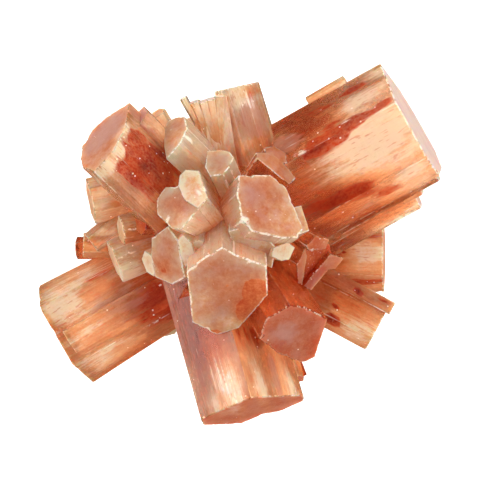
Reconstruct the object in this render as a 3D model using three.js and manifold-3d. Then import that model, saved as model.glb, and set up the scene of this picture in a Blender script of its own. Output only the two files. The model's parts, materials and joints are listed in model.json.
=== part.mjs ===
// Aragonite sputnik cluster: stout prisms of twinned aragonite that all grew out of one heart.
// Each crystal is a straight prism along its own axis with a flat end. Where crystals meet they
// have grown into one another, so the whole cluster is one solid. Millimetres and degrees, +Z up.
import * as THREE from "three";
import { mergeVertices } from "three/addons/utils/BufferGeometryUtils.js";
import Module from "manifold-3d";

const wasm = await Module();
wasm.setup();

// --- driving dimensions -------------------------------------------------------------------------

// The heart is where the crystals' axes meet. The origin is on the surface that the cluster rests
// on, under the middle of its outline.
const HEART = [-0.9, 1, 18];
const ROOT_DEPTH = 2;       // a crystal starts this far past the heart, inside its neighbours
const ROOT_SCALE = 0.9;     // its section there, against its section at the tip
const TRIM_DEPTH = 20;      // thickness of the block that trims what would reach below the surface
const TRIM_WIDTH = 80;

// --- the crystals -------------------------------------------------------------------------------

// tip: the middle of the flat end, from the heart. heading: counter-clockwise from +X. lift: above
// the horizontal. outline: the section in the crystal's own frame, first number to the left of the
// heading and second number upwards, square to the axis. slope: how the flat end leans, as rise
// along the axis for each mm to the left and upwards. laths: thin crystals that grew along the
// side of their parent and end short of it.

function hexagon(wide, thick, skew = 0) {
  const side = wide / 2;
  const top = thick / 2;
  const shoulder = side * 0.52;
  return [
    [side, skew], [shoulder, top], [-shoulder, top],
    [-side, -skew], [-shoulder, -top], [shoulder, -top],
  ];
}

const ARMS = [
  {
    name: "great arm", tip: [22.1, 14.8, 4], heading: 29, lift: 10.5, root: 1,
    outline: [
      [7.6, 0.6], [2.4, 5.7], [-5.5, 5.6], [-8.2, 3.2],
      [-7.6, -3], [-5.4, -5.6], [-0.6, -5.7], [3.9, -4.1],
    ],
    laths: [
      { shorter: 0.5, outline: [[-7.2, 3.6], [-8.7, 2.4], [-8.6, -0.5], [-7, -1]] },
      { shorter: 3.2, outline: [[-7.5, 2.6], [-9.2, 1.8], [-9, -1.2], [-7, -2]] },
      { shorter: 4.2, outline: [[-7.5, 1.4], [-10.6, 0.6], [-10.2, -2], [-6.8, -3.4]] },
    ],
  },
  {
    name: "long arm", tip: [-21, -12.4, -4.2], heading: 210, lift: -10.5, root: 0.8,
    outline: [[7, 0.5], [3.8, 5], [-4.6, 5], [-7, 0], [-4, -5], [3.5, -5]],
    laths: [
      { shorter: 1.2, outline: [[3.4, 4.6], [1.2, 5.6], [-0.4, 5.6], [-0.8, 4.4]] },
    ],
  },
  {
    name: "low arm", tip: [2.6, -21.3, 6.7], heading: 286, lift: 17, root: 1,
    outline: [
      [6.4, -0.3], [0.2, 5.9], [-4.7, 3.3], [-6.5, 2.3], [-6.5, -0.9],
      [-4, -3.7], [-2, -5.5], [1.3, -4], [3.1, -5], [6.5, -3],
    ],
    laths: [
      { shorter: 2.6, outline: [[5.4, 0], [7.2, -1.2], [7, -3.6], [5.2, -3.4]] },
    ],
  },
  {
    name: "high arm", tip: [-15.7, 12.1, 10], heading: 136, lift: 27, root: 1,
    outline: [
      [-5.3, -1.5], [-1.7, -3.8], [0.4, -3.8], [2.7, -2.7], [3.9, -0.4],
      [4.5, 2], [3.8, 5.4], [0.3, 5.2], [-2.7, 3.1], [-4, 1],
    ],
    laths: [
      { shorter: 2.2, outline: [[-3.6, 1], [-6, -0.4], [-6.2, -2.6], [-3.6, -2.6]] },
    ],
  },
  {
    name: "straight arm", tip: [0.6, 18.6, 2], heading: 107, lift: 3, root: 1, slope: [0.08, 0],
    outline: [[2.9, -1.2], [2.9, 1.6], [1.4, 2.9], [-0.8, 3.2], [-2.6, 1.8], [-2.9, -1.4], [0, -3.2]],
  },
  {
    name: "fibrous block", tip: [-3.2, 16.8, 4], heading: 101, lift: 6, root: 0.8, slope: [-0.06, 0],
    outline: [[2.2, -1.6], [2, 1.2], [0.6, 2], [-1.2, 1.7], [-2.6, 1], [-2.6, -2]],
  },
  {
    name: "pale arm", tip: [19.2, -2.5, -4], heading: 0, lift: 5, root: 1,
    outline: hexagon(9.4, 7),
  },
  {
    name: "spotted arm", tip: [18.3, -11.4, -1.5], heading: 332, lift: 2, root: 1,
    outline: hexagon(6.6, 5.2),
    laths: [
      { shorter: -0.5, outline: [[2, 2.9], [3.7, 2.2], [3.7, 0.2], [2, 0.2]] },
    ],
  },
];

const CROWN = [
  {
    name: "front crystal", tip: [-0.3, -6.8, 12.5], heading: 270, lift: 60,
    outline: [
      [-5.2, 3], [-4.8, -1.5], [-4.5, -4.4], [-1.5, -6.2], [1.2, -5.2], [3.5, -2.2],
      [4.7, -0.5], [4.6, 3.6], [0.5, 5.4], [-0.8, 6.3], [-3, 4.9],
    ],
  },
  {
    name: "front crystal's twin", tip: [2.5, -1.2, 11.8], heading: 270, lift: 60,
    outline: [[-2.9, 2], [-2.4, -0.6], [0.8, -2.4], [2.4, -3.2], [3, -0.6], [1.6, 1.6], [-1.4, 2.6]],
  },
  {
    name: "middle crystal", tip: [4.6, 3.7, 13.5], heading: 39, lift: 65,
    outline: [
      [3.6, 2.5], [0.7, 4.2], [-1.1, 4.1], [-4.1, 1.5], [-5.3, -0.3],
      [-4.7, -1.6], [0.4, -3.3], [2.9, -2.7], [5.2, 0.7],
    ],
    laths: [
      { shorter: 1, outline: [[-2, -2.7], [-2.4, -3.8], [-5.4, -2.5], [-5, -1.2]] },
    ],
  },
  {
    name: "pale crystal", tip: [-6.5, 3.4, 13.2], heading: 153, lift: 60,
    outline: [
      [1.9, -2.2], [2.6, 0.5], [2.2, 1.9], [-1.1, 2.7],
      [-2.2, 1.6], [-2.5, -1.3], [-1.6, -3], [0.4, -3.3],
    ],
  },
  {
    name: "pale crystal's twin", tip: [-4.6, 5.8, 13.5], heading: 128, lift: 60,
    outline: [[1.4, -1.6], [1.8, 0.5], [1.1, 2.7], [-0.6, 2.4], [-1.8, -1.5], [-0.6, -2.8], [0.4, -2.7]],
  },
  {
    name: "button crystal", tip: [-1.5, 8.8, 12.3], heading: 115, lift: 58,
    outline: [
      [1.8, -0.4], [1.7, 1.1], [0.2, 1.7], [-0.9, 1.1],
      [-1.9, 0.1], [-1.7, -1], [-0.9, -1.7], [0.7, -2.4],
    ],
  },
  {
    name: "rear crystal", tip: [-6.8, 12.2, 9.5], heading: 137, lift: 35,
    outline: [
      [1.8, -0.8], [2.9, 1.9], [0.3, 1.7], [-1.6, 0.7],
      [-2.5, -1.8], [-1.7, -3], [-0.7, -3.7], [0.3, -3],
    ],
  },
  {
    name: "left crystal", tip: [-7.9, -2.6, 9.5], heading: 198, lift: 50,
    outline: [[-0.2, -2.8], [1.9, -2.9], [3.4, -0.6], [3.1, 1.7], [-1.6, 2.5], [-3.6, 1.6], [-2.8, -1.5]],
  },
  {
    name: "stub crystal", tip: [7.3, -12.1, 10], heading: 302, lift: 47,
    outline: [
      [-3.6, 2.4], [-2.6, -1.6], [-0.7, -5.3], [1, -5.5],
      [4.8, -1], [3.2, 2.9], [1.8, 4.5], [-1.5, 4.7],
    ],
  },
  {
    name: "glass crystal", tip: [5.3, 8.5, 9.5], heading: 56, lift: 50,
    outline: [[2.5, 0.5], [-2.7, 1.2], [-2.9, -0.3], [-0.2, -1.4], [1.5, -1.4], [2.9, -0.1]],
  },
  {
    name: "glass crystal's twin", tip: [5.4, 9.9, 7.4], heading: 58, lift: 47,
    outline: hexagon(3.4, 2.6),
  },
  {
    name: "cream knob", tip: [6.3, -2, 11.2], heading: 350, lift: 60,
    outline: [[-0.8, 1.5], [-1.1, 0.1], [-0.8, -1], [0.8, -1.5], [1.4, -0.4], [0.3, 1.6]],
  },
  {
    name: "cream stub", tip: [-5.6, -1.7, 11.6], heading: 245, lift: 60,
    outline: [[-1.1, 1.8], [-1.4, 0.8], [-0.3, -1.1], [0.9, -2.3], [1.4, -0.1], [0.2, 1.3]],
  },
  {
    name: "cream stub's twin", tip: [-4.1, -1.4, 11.3], heading: 262, lift: 60,
    outline: [[-0.9, 0.6], [-0.3, -1.4], [0.5, -0.6], [0.6, 1], [0, 1.1]],
  },
  {
    name: "cream shoulder", tip: [-10.2, -3.4, 7.4], heading: 200, lift: 46,
    outline: hexagon(3.4, 1.9),
  },
  {
    name: "tucked crystal", tip: [-5.5, -8.2, 5], heading: 252, lift: 44,
    outline: hexagon(2.6, 4.2),
  },
];

const SKIRT = [
  {
    name: "notch crystal", tip: [10.4, -4, 5], heading: 325, lift: 50,
    outline: [
      [0.2, 3.3], [-2.7, 0.8], [-2.5, -1], [0.4, -1.9],
      [2.2, -2.4], [3.5, 0.6], [3.1, 2.7], [1.6, 3.4],
    ],
    laths: [
      { shorter: -0.8, outline: [[1.2, 3.4], [1.5, 4.1], [3.2, 3.9], [3.8, 1.6], [2.6, 1.2]] },
      { shorter: -0.6, outline: [[1.3, 3.9], [-1.1, 3.4], [-2.8, 1.5], [-2.6, 0.9], [0.6, 2.9]] },
      {
        shorter: -0.8,
        outline: [[-2.7, 0.7], [1.7, 0.2], [2.5, 0], [3, -2.1], [1.4, -2], [0.8, -1.1], [-2.6, -0.7]],
      },
    ],
  },
  { name: "left shelf", tip: [-14.5, -3.2, 4.2], heading: 202, lift: 10, outline: hexagon(5.6, 4.4) },
  { name: "left step", tip: [-13.7, 0.6, 5.6], heading: 190, lift: 16, outline: hexagon(4, 3) },
  { name: "left ledge", tip: [-18.6, -1.1, 0.4], heading: 178, lift: 3, outline: hexagon(3.2, 3.2) },
  {
    name: "left wedge", tip: [-17.5, -1, 1.4], heading: 217, lift: 6, root: 1.3,
    outline: hexagon(3.2, 3.4),
  },
  { name: "left fin", tip: [-19.5, -1.5, -2.4], heading: 181, lift: -5, outline: hexagon(2.9, 3.4) },
  { name: "left nub", tip: [-11.2, 1.4, 8], heading: 186, lift: 30, outline: hexagon(2.8, 2.6) },
  { name: "rib", tip: [-17.6, 4.3, 2.4], heading: 192, lift: 8, outline: hexagon(5.9, 5) },
  { name: "rear nub", tip: [-9.2, 15.2, 4.8], heading: 121, lift: 16, outline: hexagon(2.2, 3.2) },
  { name: "side crystal", tip: [8.1, -17.8, 1], heading: 292, lift: 6, outline: hexagon(2.8, 3.6) },
  {
    name: "sliver on the great arm", tip: [14.1, 19.3, 2.9], heading: 29, lift: 9, length: 5.4,
    outline: hexagon(1.4, 1.8),
  },
];

const UNDERSIDE = [
  { name: "foot", tip: [0.5, -0.3, -18.4], heading: 300, lift: -90, outline: hexagon(11.6, 9.6, 0.8) },
  { name: "right leg", tip: [12.6, 6.4, -14.6], heading: 27, lift: -46, outline: hexagon(7.6, 6.6, 0.5) },
  { name: "left leg", tip: [-12.8, -6.6, -14], heading: 207, lift: -44, outline: hexagon(8, 6.2, -0.4) },
  { name: "near leg", tip: [3.4, -13.4, -12.6], heading: 284, lift: -42, outline: hexagon(7, 6.2, 0.6) },
  { name: "far leg", tip: [-9.4, 9.8, -14.2], heading: 134, lift: -46, outline: hexagon(7.4, 6.4) },
  { name: "lower spur", tip: [7.4, 11.6, -5.4], heading: 62, lift: -22, outline: hexagon(5.6, 5) },
  { name: "lower spur", tip: [1.6, 10.6, -11.6], heading: 84, lift: -48, outline: hexagon(5.2, 4.8) },
  { name: "lower spur", tip: [-4.4, 14.4, -5.2], heading: 108, lift: -19, outline: hexagon(5.8, 5.2) },
  { name: "lower spur", tip: [-15.6, 4, -7.2], heading: 166, lift: -24, outline: hexagon(6, 5) },
  { name: "lower spur", tip: [-9.4, -11.2, -7], heading: 236, lift: -26, outline: hexagon(5, 5.4) },
  { name: "lower spur", tip: [-3.6, -11.6, -12.2], heading: 252, lift: -47, outline: hexagon(5.2, 4.6) },
  { name: "lower spur", tip: [10.6, -9.6, -9.8], heading: 318, lift: -36, outline: hexagon(6.6, 5.6) },
  { name: "lower spur", tip: [13.4, -0.6, -12], heading: 356, lift: -41, outline: hexagon(5.8, 5.6) },
  { name: "lower spur", tip: [-12.2, -0.4, -13.4], heading: 184, lift: -48, outline: hexagon(5, 4.6) },
];

// A fan of needles that stands out of the fibrous block, all from one point.
const FAN = {
  root: [-1.2, 8.4, 3.6],
  thick: 3,
  needles: [
    { heading: 119, lift: 4, length: 10, wide: 1.1 },
    { heading: 113, lift: 8, length: 9, wide: 1.6 },
    { heading: 106, lift: 9, length: 8.7, wide: 1.7 },
    { heading: 99, lift: 9, length: 8.8, wide: 1.6 },
    { heading: 92, lift: 8, length: 9, wide: 1.7 },
  ],
};

// --- one crystal --------------------------------------------------------------------------------

function crystalAxes(heading, lift) {
  const turn = THREE.MathUtils.degToRad(heading);
  const rise = THREE.MathUtils.degToRad(lift);
  const along = new THREE.Vector3(
    Math.cos(rise) * Math.cos(turn),
    Math.cos(rise) * Math.sin(turn),
    Math.sin(rise),
  );
  const left = new THREE.Vector3(-Math.sin(turn), Math.cos(turn), 0);
  const up = new THREE.Vector3().crossVectors(along, left);
  return { left, up, along };
}

function prismGeometry({ tip, heading, lift, length, root = ROOT_SCALE, slope = [0, 0], outline }) {
  const section = new THREE.Shape(outline.map(([left, up]) => new THREE.Vector2(left, up)));
  const prism = new THREE.ExtrudeGeometry(section, { depth: length, steps: 1, bevelEnabled: false });
  const corners = prism.getAttribute("position");
  for (let i = 0; i < corners.count; i += 1) {
    const share = corners.getZ(i) / length;
    const scale = THREE.MathUtils.lerp(root, 1, share);
    const lean = slope[0] * corners.getX(i) + slope[1] * corners.getY(i);
    corners.setXYZ(i, corners.getX(i) * scale, corners.getY(i) * scale, corners.getZ(i) + share * lean);
  }
  const { left, up, along } = crystalAxes(heading, lift);
  const place = new THREE.Matrix4().makeBasis(left, up, along);
  place.setPosition(new THREE.Vector3(...tip).addScaledVector(along, -length));
  return prism.applyMatrix4(place);
}

function toSolid(geometry) {
  const shell = geometry.clone();
  shell.deleteAttribute("normal");
  shell.deleteAttribute("uv");
  const merged = mergeVertices(shell, 1e-4);
  const vertProperties = new Float32Array(merged.getAttribute("position").array);
  const triVerts = new Uint32Array(merged.index.array);
  return new wasm.Manifold(new wasm.Mesh({ numProp: 3, vertProperties, triVerts }));
}

function toGeometry(solid) {
  const mesh = solid.getMesh();
  const geometry = new THREE.BufferGeometry();
  geometry.setAttribute("position", new THREE.BufferAttribute(mesh.vertProperties, 3));
  geometry.setIndex(new THREE.BufferAttribute(mesh.triVerts, 1));
  geometry.computeVertexNormals();
  return geometry;
}

// A crystal reaches from just past the heart to its tip; its laths share its axis.
function crystalSolids(crystal) {
  const { along } = crystalAxes(crystal.heading, crystal.lift);
  const tip = new THREE.Vector3(...crystal.tip);
  const length = crystal.length ?? tip.dot(along) + ROOT_DEPTH;
  const solids = [toSolid(prismGeometry({ ...crystal, length }))];
  for (const lath of crystal.laths ?? []) {
    const lathTip = tip.clone().addScaledVector(along, -lath.shorter).toArray();
    const row = { ...crystal, tip: lathTip, length: length - lath.shorter, outline: lath.outline };
    solids.push(toSolid(prismGeometry(row)));
  }
  return solids;
}

function needleSolid({ heading, lift, length, wide }) {
  const { along } = crystalAxes(heading, lift);
  const tip = new THREE.Vector3(...FAN.root).addScaledVector(along, length).toArray();
  const outline = hexagon(wide, FAN.thick);
  return toSolid(prismGeometry({ tip, heading, lift, length, root: 0.5, outline }));
}

// --- the cluster --------------------------------------------------------------------------------

function clusterGeometry() {
  const crystals = [...ARMS, ...CROWN, ...SKIRT, ...UNDERSIDE];
  const solids = [...crystals.flatMap(crystalSolids), ...FAN.needles.map(needleSolid)];
  const grown = solids.reduce((cluster, crystal) => cluster.add(crystal));
  const block = new THREE.BoxGeometry(TRIM_WIDTH, TRIM_WIDTH, TRIM_DEPTH);
  block.translate(0, 0, -HEART[2] - TRIM_DEPTH / 2);
  return toGeometry(grown.subtract(toSolid(block)));
}

const aragonite = new THREE.MeshStandardMaterial({ color: 0xd98a5c, roughness: 0.35, metalness: 0 });

const cluster = new THREE.Mesh(clusterGeometry(), aragonite);
cluster.name = "aragonite_cluster";
cluster.position.set(...HEART);

const root = new THREE.Group();
root.add(cluster);

export default root;
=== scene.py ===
# %% [markdown]
# # An aragonite sputnik cluster
#
# Aragonite from desert clays often grows as a burr of stout six-sided prisms, all from one point,
# so that it looks like an early satellite with its aerials out. Each prism is really three crystals
# twinned round one axis, which is why its sides are ridged and its end is flat. Iron stains it from
# cream to a deep orange-red. The crystals have grown into one another, so the visual model is one
# closed skin, like the solid that it dresses.

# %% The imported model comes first, as a fixed frame
import json
import math
import bmesh
import bpy
import numpy as np
from mathutils import Matrix, Vector

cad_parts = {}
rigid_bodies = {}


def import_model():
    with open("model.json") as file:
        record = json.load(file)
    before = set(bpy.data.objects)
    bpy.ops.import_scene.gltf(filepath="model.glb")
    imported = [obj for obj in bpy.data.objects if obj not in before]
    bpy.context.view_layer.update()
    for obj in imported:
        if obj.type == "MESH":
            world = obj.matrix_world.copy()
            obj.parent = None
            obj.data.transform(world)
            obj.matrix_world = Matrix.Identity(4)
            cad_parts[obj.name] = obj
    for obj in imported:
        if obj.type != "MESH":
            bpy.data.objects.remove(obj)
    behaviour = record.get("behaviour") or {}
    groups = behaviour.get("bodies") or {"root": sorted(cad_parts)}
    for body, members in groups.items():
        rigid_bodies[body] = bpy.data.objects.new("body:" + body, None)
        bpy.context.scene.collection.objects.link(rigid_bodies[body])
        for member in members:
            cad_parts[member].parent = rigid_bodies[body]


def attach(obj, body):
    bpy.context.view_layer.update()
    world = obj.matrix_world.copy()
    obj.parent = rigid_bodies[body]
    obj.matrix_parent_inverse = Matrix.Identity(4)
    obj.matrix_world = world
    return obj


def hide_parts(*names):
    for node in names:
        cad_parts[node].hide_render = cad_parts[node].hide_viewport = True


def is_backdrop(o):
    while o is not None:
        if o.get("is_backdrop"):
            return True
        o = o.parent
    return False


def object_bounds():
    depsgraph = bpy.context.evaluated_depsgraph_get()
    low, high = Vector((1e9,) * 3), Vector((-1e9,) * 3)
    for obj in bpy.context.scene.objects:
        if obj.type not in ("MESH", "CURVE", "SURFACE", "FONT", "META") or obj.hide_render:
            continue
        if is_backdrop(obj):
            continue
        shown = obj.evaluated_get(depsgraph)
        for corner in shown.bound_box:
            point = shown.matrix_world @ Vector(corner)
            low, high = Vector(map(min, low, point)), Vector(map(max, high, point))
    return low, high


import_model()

NODE = "aragonite_cluster"
MM = 0.001  # the frame is in metres, the crystals in millimetres
scene = bpy.context.scene
cad_box = [list(map(float, corner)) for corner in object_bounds()]
print("solid box in mm:", [[round(v / MM, 2) for v in corner] for corner in cad_box])

# %% [markdown]
# ## The camera
#
# A long lens far away flattens the cluster, which is how small minerals are mostly shown: the
# crystals keep their true proportions. It looks straight down. The lens follows from the distance
# and from the width that the frame has to hold.

# %% Camera
HEART = Vector((-0.9, 1.0, 18.0))  # where the crystals' axes meet
AIM = Vector((0.1, 0.5, 18.0))  # the middle of the view
CAMERA_RISE = 400.0  # mm above the heart
FIELD = 60.0  # mm seen from side to side at the heart's height
SENSOR = 36.0
CLIP_START = 0.01  # in metres, nearer than anything in view


def into_scene(name, data):
    """A new object with this data, in the scene."""
    thing = bpy.data.objects.new(name, data)
    scene.collection.objects.link(thing)
    return thing


camera = bpy.data.cameras.new("camera")
camera.sensor_width = SENSOR
camera.lens = SENSOR * CAMERA_RISE / FIELD
camera.clip_start = CLIP_START
scene.camera = into_scene("camera", camera)
scene.camera.location = (AIM + Vector((0, 0, CAMERA_RISE))) * MM
print("lens:", camera.lens, "mm, for", FIELD, "mm at the heart")

# %% [markdown]
# ## The crystals
#
# Each crystal is a prism along its own axis. Its row gives the middle of its flat end from the
# heart, the way it points (heading, counter-clockwise from +X, and lift above the horizontal), and
# its outline across the axis, as points to the left of the heading and upwards. Thin laths grew
# along some of them and end short of their tips. The rows are those of the solid, with one word
# more: the finish, which says how that crystal is coloured.

# %% What a crystal's finish says
# end, tip and root: from orange 0 to cream 1, on the flat end and on the sides at each end of them.
# rust: iron stain towards the root. clear: share of light that goes straight in where nothing
# covers it; above 1, some goes in through what does. dusk: how dull the flat end is. rim: how
# strong the painted highlight on its edges is. ridge: depth of the ridges in mm.
WORDS = ("end", "tip", "root", "rust", "clear", "dusk", "rim", "ridge")
FINISHES = {name: dict(zip(WORDS, values)) for name, *values in [
    ("great", 1.10, 0.88, 0.60, 0.30, 0.88, 0.0, 0.7, 0.05),
    ("long", 0.70, 0.74, 0.38, 0.60, 0.70, 0.3, 0.35, 0.04),
    ("low", 0.26, 0.76, 0.38, 0.40, 0.80, 0.9, 0.45, 0.05),
    ("high", 0.50, 0.80, 0.48, 0.25, 0.75, 0.6, 0.4, 0.05),
    ("fibrous", 0.85, 0.92, 0.66, 0.05, 0.65, 0.1, 0.5, 0.08),
    ("glassy", 0.50, 0.70, 0.34, 0.35, 0.62, 0.2, 0.5, 0.04),
    ("glass", 0.46, 0.66, 0.30, 0.10, 2.40, 0.1, 1.0, 0.03),
    ("cream", 0.76, 1.00, 0.66, 0.00, 0.50, 0.3, 0.4, 0.03),
    ("beige", 0.55, 1.04, 0.74, 0.12, 0.60, 0.95, 0.7, 0.04),
    ("rose", 0.52, 1.02, 0.70, 0.12, 0.60, 0.8, 0.7, 0.04),
    ("terracotta", 0.26, 0.22, 0.10, 0.40, 0.80, 0.9, 0.45, 0.04),
    ("ember", 0.05, 0.05, 0.02, 0.55, 0.90, 0.0, 0.3, 0.05),
    ("blade", 0.36, 0.35, 0.20, 0.20, 0.80, 0.8, 0.5, 0.02),
    ("peach", 0.60, 0.88, 0.68, 0.15, 0.65, 0.2, 0.4, 0.06),
]}
ROOT_DEPTH = 2.0  # a crystal starts this far past the heart
ROOT_SCALE = 0.9  # its section there, against that at the tip
FLAT_SHARE = 0.52  # of a hexagon's width, the part that is level on top


def hexagon(wide, thick, skew=0.0):
    """A six-sided outline. The skew lifts its left corner and lowers the right one."""
    side, top = wide / 2, thick / 2
    shoulder = side * FLAT_SHARE
    return [(side, skew), (shoulder, top), (-shoulder, top),
            (-side, -skew), (-shoulder, -top), (shoulder, -top)]


def axes_of(heading, lift):
    """The directions left, up and along of a crystal, as the columns of a matrix."""
    turn, rise = math.radians(heading), math.radians(lift)
    along = Vector((math.cos(rise) * math.cos(turn), math.cos(rise) * math.sin(turn), math.sin(rise)))
    left = Vector((-math.sin(turn), math.cos(turn), 0))
    return Matrix((left, along.cross(left), along)).transposed()


solids = []  # one row for each crystal and each lath


def grow(name, finish, tip, heading, lift, outline, root=ROOT_SCALE, length=None, lean=(0, 0), laths=()):
    """Adds a crystal, and its laths as (shorter, outline) or (shorter, outline, finish)."""
    axes = axes_of(heading, lift)
    tip = Vector(tip)
    reach = length or tip.dot(axes.col[2]) + ROOT_DEPTH
    shared = dict(crystal=name, axes=axes, heading=heading, lift=lift, root=root, lean=lean)
    solids.append(dict(shared, finish=finish, tip=tip, length=reach, outline=outline))
    for shorter, lath_outline, *lath_finish in laths:
        solids.append(dict(
            shared, finish=(lath_finish or [finish])[0],
            tip=tip - axes.col[2] * shorter, length=reach - shorter, outline=lath_outline,
        ))


# %% The long arms
grow("great arm", "great", (22.1, 14.8, 4), 29, 10.5, root=1, outline=[
    (7.6, 0.6), (2.4, 5.7), (-5.5, 5.6), (-8.2, 3.2), (-7.6, -3), (-5.4, -5.6), (-0.6, -5.7), (3.9, -4.1),
], laths=[
    (0.5, [(-7.2, 3.6), (-8.7, 2.4), (-8.6, -0.5), (-7, -1)]),
    (3.2, [(-7.5, 2.6), (-9.2, 1.8), (-9, -1.2), (-7, -2)]),
    (4.2, [(-7.5, 1.4), (-10.6, 0.6), (-10.2, -2), (-6.8, -3.4)]),
])
grow("long arm", "long", (-21, -12.4, -4.2), 210, -10.5, root=0.8, outline=[
    (7, 0.5), (3.8, 5), (-4.6, 5), (-7, 0), (-4, -5), (3.5, -5),
], laths=[
    (1.2, [(3.4, 4.6), (1.2, 5.6), (-0.4, 5.6), (-0.8, 4.4)]),
])
grow("low arm", "low", (2.6, -21.3, 6.7), 286, 17, root=1, outline=[
    (6.4, -0.3), (0.2, 5.9), (-4.7, 3.3), (-6.5, 2.3), (-6.5, -0.9),
    (-4, -3.7), (-2, -5.5), (1.3, -4), (3.1, -5), (6.5, -3),
], laths=[
    (2.6, [(5.4, 0), (7.2, -1.2), (7, -3.6), (5.2, -3.4)]),
])
grow("high arm", "high", (-15.7, 12.1, 10), 136, 27, root=1, outline=[
    (-5.3, -1.5), (-1.7, -3.8), (0.4, -3.8), (2.7, -2.7), (3.9, -0.4),
    (4.5, 2), (3.8, 5.4), (0.3, 5.2), (-2.7, 3.1), (-4, 1),
], laths=[
    (2.2, [(-3.6, 1), (-6, -0.4), (-6.2, -2.6), (-3.6, -2.6)]),
])
grow("straight arm", "fibrous", (0.6, 18.6, 2), 107, 3, root=1, lean=(0.08, 0), outline=[
    (2.9, -1.2), (2.9, 1.6), (1.4, 2.9), (-0.8, 3.2), (-2.6, 1.8), (-2.9, -1.4), (0, -3.2),
])
grow("fibrous block", "fibrous", (-3.2, 16.8, 4), 101, 6, root=0.8, lean=(-0.06, 0), outline=[
    (2.2, -1.6), (2, 1.2), (0.6, 2), (-1.2, 1.7), (-2.6, 1), (-2.6, -2),
])
grow("pale arm", "glassy", (19.2, -2.5, -4), 0, 5, root=1, outline=hexagon(9.4, 7))
grow("spotted arm", "glassy", (18.3, -11.4, -1.5), 332, 2, root=1, outline=hexagon(6.6, 5.2), laths=[
    (-0.5, [(2, 2.9), (3.7, 2.2), (3.7, 0.2), (2, 0.2)]),
])
print(len(solids), "solids in the long arms")

# %% The crown, which points at the camera
grow("front crystal", "beige", (-0.3, -6.8, 12.5), 270, 60, [
    (-5.2, 3), (-4.8, -1.5), (-4.5, -4.4), (-1.5, -6.2), (1.2, -5.2), (3.5, -2.2),
    (4.7, -0.5), (4.6, 3.6), (0.5, 5.4), (-0.8, 6.3), (-3, 4.9),
])
grow("front crystal's twin", "beige", (2.5, -1.2, 11.8), 270, 60, [
    (-2.9, 2), (-2.4, -0.6), (0.8, -2.4), (2.4, -3.2), (3, -0.6), (1.6, 1.6), (-1.4, 2.6),
])
grow("middle crystal", "rose", (4.6, 3.7, 13.5), 39, 65, [
    (3.6, 2.5), (0.7, 4.2), (-1.1, 4.1), (-4.1, 1.5), (-5.3, -0.3),
    (-4.7, -1.6), (0.4, -3.3), (2.9, -2.7), (5.2, 0.7),
], laths=[
    (1, [(-2, -2.7), (-2.4, -3.8), (-5.4, -2.5), (-5, -1.2)]),
])
grow("pale crystal", "beige", (-6.5, 3.4, 13.2), 153, 60, [
    (1.9, -2.2), (2.6, 0.5), (2.2, 1.9), (-1.1, 2.7), (-2.2, 1.6), (-2.5, -1.3), (-1.6, -3), (0.4, -3.3),
])
grow("pale crystal's twin", "cream", (-4.6, 5.8, 13.5), 128, 60, [
    (1.4, -1.6), (1.8, 0.5), (1.1, 2.7), (-0.6, 2.4), (-1.8, -1.5), (-0.6, -2.8), (0.4, -2.7),
])
grow("button crystal", "beige", (-1.5, 8.8, 12.3), 115, 58, [
    (1.8, -0.4), (1.7, 1.1), (0.2, 1.7), (-0.9, 1.1), (-1.9, 0.1), (-1.7, -1), (-0.9, -1.7), (0.7, -2.4),
])
grow("rear crystal", "rose", (-6.8, 12.2, 9.5), 137, 35, [
    (1.8, -0.8), (2.9, 1.9), (0.3, 1.7), (-1.6, 0.7), (-2.5, -1.8), (-1.7, -3), (-0.7, -3.7), (0.3, -3),
])
grow("left crystal", "rose", (-7.9, -2.6, 9.5), 198, 50, [
    (-0.2, -2.8), (1.9, -2.9), (3.4, -0.6), (3.1, 1.7), (-1.6, 2.5), (-3.6, 1.6), (-2.8, -1.5),
])
grow("stub crystal", "terracotta", (7.3, -12.1, 10), 302, 47, [
    (-3.6, 2.4), (-2.6, -1.6), (-0.7, -5.3), (1, -5.5), (4.8, -1), (3.2, 2.9), (1.8, 4.5), (-1.5, 4.7),
])
grow("glass crystal", "glass", (5.3, 8.5, 9.5), 56, 50, [
    (2.5, 0.5), (-2.7, 1.2), (-2.9, -0.3), (-0.2, -1.4), (1.5, -1.4), (2.9, -0.1),
])
grow("glass crystal's twin", "glass", (5.4, 9.9, 7.4), 58, 47, hexagon(3.4, 2.6))
grow("cream knob", "cream", (6.3, -2, 11.2), 350, 60, [
    (-0.8, 1.5), (-1.1, 0.1), (-0.8, -1), (0.8, -1.5), (1.4, -0.4), (0.3, 1.6),
])
grow("cream stub", "cream", (-5.6, -1.7, 11.6), 245, 60, [
    (-1.1, 1.8), (-1.4, 0.8), (-0.3, -1.1), (0.9, -2.3), (1.4, -0.1), (0.2, 1.3),
])
grow("cream stub's twin", "cream", (-4.1, -1.4, 11.3), 262, 60, [
    (-0.9, 0.6), (-0.3, -1.4), (0.5, -0.6), (0.6, 1), (0, 1.1),
])
grow("cream shoulder", "cream", (-10.2, -3.4, 7.4), 200, 46, hexagon(3.4, 1.9))
grow("tucked crystal", "ember", (-5.5, -8.2, 5), 252, 44, hexagon(2.6, 4.2))
print(len(solids), "solids with the crown")

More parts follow.
